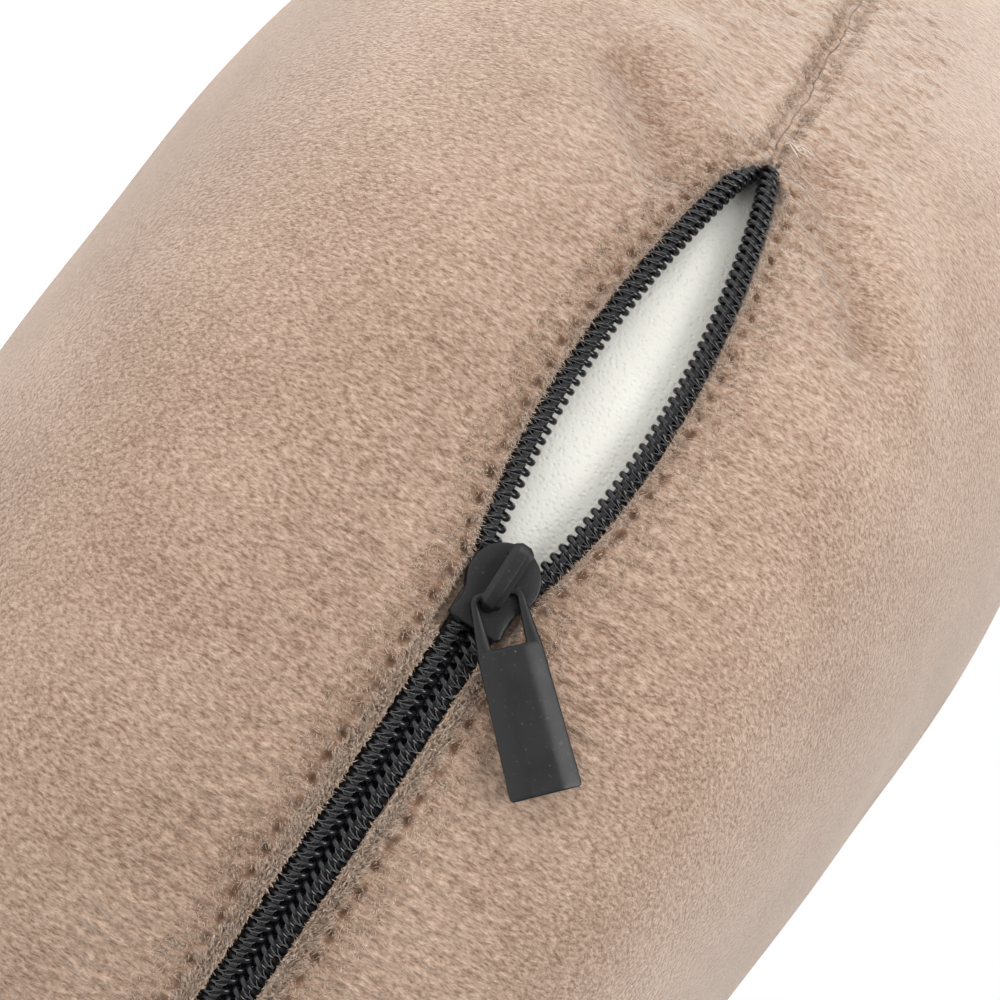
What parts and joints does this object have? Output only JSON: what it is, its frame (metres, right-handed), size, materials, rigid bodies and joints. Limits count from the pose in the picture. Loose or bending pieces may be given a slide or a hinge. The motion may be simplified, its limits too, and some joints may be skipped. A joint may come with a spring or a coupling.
{
  "type": "lumbar support cushion",
  "caption": "Foam lumbar cushion in a two-panel velour cover with a coil zip in the perimeter seam, part open on the foam.",
  "frame": {"origin": "centre of the flat back, on the surface that the cushion lies on", "axes": "X along the cushion's width, +Y towards its top edge as worn, +Z out of the front that meets the sitter's back"},
  "size_m": [0.44, 0.3308, 0.1433],
  "materials": {
    "velour_front": "short pile",
    "velour_back": "short pile",
    "foam": "open cell foam",
    "zip_tape": "woven",
    "nylon_coil": "satin nylon",
    "coil_cord": "twisted cord",
    "thread": "sewing thread",
    "tack_thread": "sewing thread",
    "slider_paint": "matte black",
    "pull_paint": "matte black",
    "spring_steel": "bright strip"
  },
  "bodies": {
    "cushion": {"foam_core": "foam", "cover_front_panel": "velour_front", "cover_back_panel": "velour_back", "zip_tape_front": "zip_tape", "zip_tape_back": "zip_tape", "zip_coil_front": "nylon_coil", "zip_coil_back": "nylon_coil", "coil_cord_front": "coil_cord", "coil_cord_back": "coil_cord", "topstitch_front": "thread", "topstitch_back": "thread", "perimeter_seam_thread": "thread", "bar_tack_open_end": "tack_thread", "bar_tack_closed_end": "tack_thread"},
    "slider": {"slider_body": "slider_paint", "slider_crown": "slider_paint"},
    "lock_spring": {"slider_lock_spring": "spring_steel"},
    "pull": {"pull_tab": "pull_paint"}
  },
  "joints": [
    {"name": "zip_travel", "type": "hinge", "parent": "cushion", "child": "slider", "pos_m": [-0.07, -0.015, 0.072], "axis": [0, 0, -1], "range_deg": [-38, 25], "deforming": ["zip_tape_front", "zip_tape_back", "zip_coil_front", "zip_coil_back", "coil_cord_front", "coil_cord_back"]},
    {"name": "pull_flip", "type": "hinge", "parent": "slider", "child": "pull", "pos_m": [-0.17589, -0.124, 0.072], "axis": [0.5171, -0.5171, -0.682], "range_deg": [0, 95]},
    {"name": "lock_lift", "type": "slide", "parent": "slider", "child": "lock_spring", "axis": [-0.7071, -0.7071, 0], "range_m": [0, 0.0004]}
  ],
  "couplings": [
    {"joint": "lock_lift", "follows": "pull_flip", "m_per_rad": 0.00024}
  ]
}
